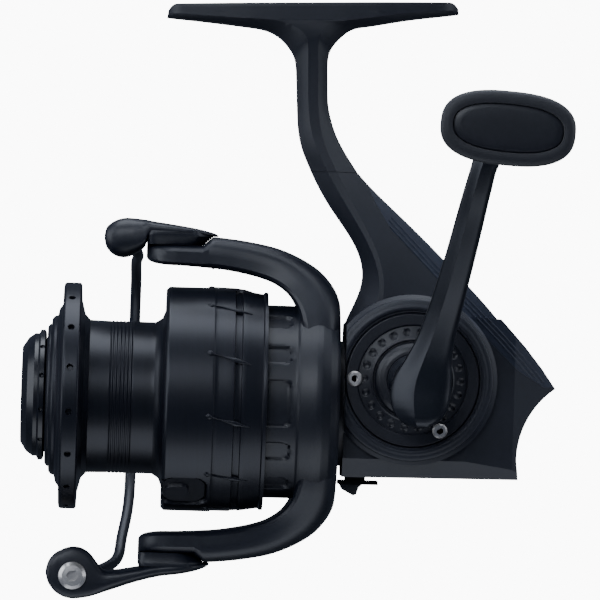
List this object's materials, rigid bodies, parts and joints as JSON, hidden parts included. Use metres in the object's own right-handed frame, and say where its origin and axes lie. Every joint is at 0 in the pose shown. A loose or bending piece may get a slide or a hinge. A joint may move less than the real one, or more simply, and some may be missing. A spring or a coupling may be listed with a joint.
{
  "type": "spinning reel",
  "caption": "Open-face fixed-spool spinning reel with rod foot, two-arm rotor, folding bail wire, line roller, front drag knob and side crank handle.",
  "frame": {"origin": "centre of the rod foot's seating face", "axes": "+Z out of the foot towards the rod, -X forwards to the spool's front, -Y towards the crank handle"},
  "size_m": [0.1151, 0.1237, 0.1283],
  "materials": {
    "body_paint": "fibre-filled nylon with a satin black lacquer",
    "cover_gloss": "semi-gloss moulded trim",
    "rotor_paint": "fibre-filled nylon with a satin black lacquer",
    "spool_anodised": "black anodised, turned",
    "handle_anodised": "black anodised, satin",
    "soft_knob": "soft-touch moulding",
    "cap_plastic": "moulded nylon",
    "drag_plastic": "moulded nylon, knurled edge",
    "steel": "stainless",
    "black_steel": "black-coated stainless wire",
    "roller_coat": "polished hard-coated roller",
    "gear_brass": "machined",
    "gear_zinc": "cast and machined",
    "bearing_steel": "ground",
    "nitrile": "moulded",
    "drag_fibre": "carbon fibre washer",
    "acetal": "moulded acetal"
  },
  "bodies": {
    "frame": {"body_frame": "body_paint", "rear_cover": "cover_gloss", "side_cover": "body_paint", "side_cover_screws": "steel", "side_plate": "cap_plastic", "plate_screws": "steel", "gear_bearings": "bearing_steel", "shaft_seal": "nitrile", "hub_cap": "cap_plastic", "pinion_bearing": "bearing_steel", "pinion_bush": "acetal", "clutch_housing": "gear_zinc", "clutch_rollers": "bearing_steel", "clutch_retainer": "steel", "retainer_screws": "steel", "brake_ring": "nitrile", "guide_rods": "steel", "lever_pin": "steel"},
    "crank": {"drive_gear": "gear_zinc", "handle_shank": "handle_anodised", "handle_screw": "steel", "handle_arm": "handle_anodised", "knob_axle": "steel"},
    "knob": {"knob_grip": "soft_knob", "knob_cap": "cap_plastic", "knob_bushes": "acetal"},
    "rotor_body": {"rotor": "rotor_paint", "pinion_gear": "gear_brass", "rotor_nut": "gear_brass", "nut_lock": "steel", "nut_lock_screw": "steel", "clutch_sleeve": "bearing_steel", "balance_weight": "gear_zinc", "bail_spring": "steel", "spring_guide": "steel"},
    "bail": {"bail_lever": "rotor_paint", "roller_lever": "rotor_paint", "pivot_screws": "black_steel", "roller_screw": "steel", "roller_bush": "acetal", "bail_wire": "black_steel"},
    "roller": {"line_roller": "roller_coat"},
    "shaft": {"main_shaft": "steel", "spool_seat": "steel", "slider": "gear_zinc", "slider_screw": "steel"},
    "spool_body": {"spool": "spool_anodised", "line_clip": "cap_plastic", "click_ring": "acetal", "drag_retainer": "steel", "drag_washers": "drag_fibre"},
    "drag": {"drag_knob": "drag_plastic", "drag_nut": "gear_brass", "drag_spring": "steel", "drag_seal": "nitrile"},
    "oscillator": {"oscillating_gear": "acetal"},
    "reverse_lever": {"anti_reverse_lever": "cap_plastic"}
  },
  "joints": [
    {"name": "crank_spin", "type": "hinge", "parent": "frame", "child": "crank", "pos_m": [0.02039, 0, -0.08086], "axis": [0, 1, 0], "continuous": true},
    {"name": "knob_spin", "type": "hinge", "parent": "crank", "child": "knob", "pos_m": [0.03772, -0.066, -0.02863], "axis": [0, 1, 0], "continuous": true},
    {"name": "rotor_spin", "type": "hinge", "parent": "frame", "child": "rotor_body", "pos_m": [0.0002, 0, -0.08586], "axis": [0.9994, 0, -0.0349], "continuous": true},
    {"name": "oscillator_spin", "type": "hinge", "parent": "frame", "child": "oscillator", "pos_m": [0.03237, 0, -0.0859], "axis": [0, 1, 0], "continuous": true},
    {"name": "spool_stroke", "type": "slide", "parent": "frame", "child": "shaft", "axis": [-0.9994, 0, 0.0349], "range_m": [-0.0035, 0.009]},
    {"name": "spool_spin", "type": "hinge", "parent": "shaft", "child": "spool_body", "pos_m": [-0.03977, 0, -0.08446], "axis": [0.9994, 0, -0.0349], "continuous": true},
    {"name": "drag_knob_turn", "type": "hinge", "parent": "shaft", "child": "drag", "pos_m": [-0.05976, 0, -0.08377], "axis": [0.9994, 0, -0.0349], "range_deg": [-180, 540]},
    {"name": "bail_open", "type": "hinge", "parent": "rotor_body", "child": "bail", "pos_m": [-0.03028, 0, -0.08479], "axis": [0.0349, 0, 0.9994], "range_deg": [0, 90]},
    {"name": "roller_spin", "type": "hinge", "parent": "bail", "child": "roller", "pos_m": [-0.05231, 0.0015, -0.12245], "axis": [0, 1, 0], "continuous": true},
    {"name": "reverse_switch", "type": "hinge", "parent": "frame", "child": "reverse_lever", "pos_m": [0.0086, 0, -0.09756], "axis": [0.9994, 0, -0.0349], "range_deg": [-10, 10]}
  ],
  "couplings": [
    {"joint": "rotor_spin", "follows": "crank_spin", "ratio": 5.1667},
    {"joint": "oscillator_spin", "follows": "crank_spin", "ratio": -0.6}
  ]
}
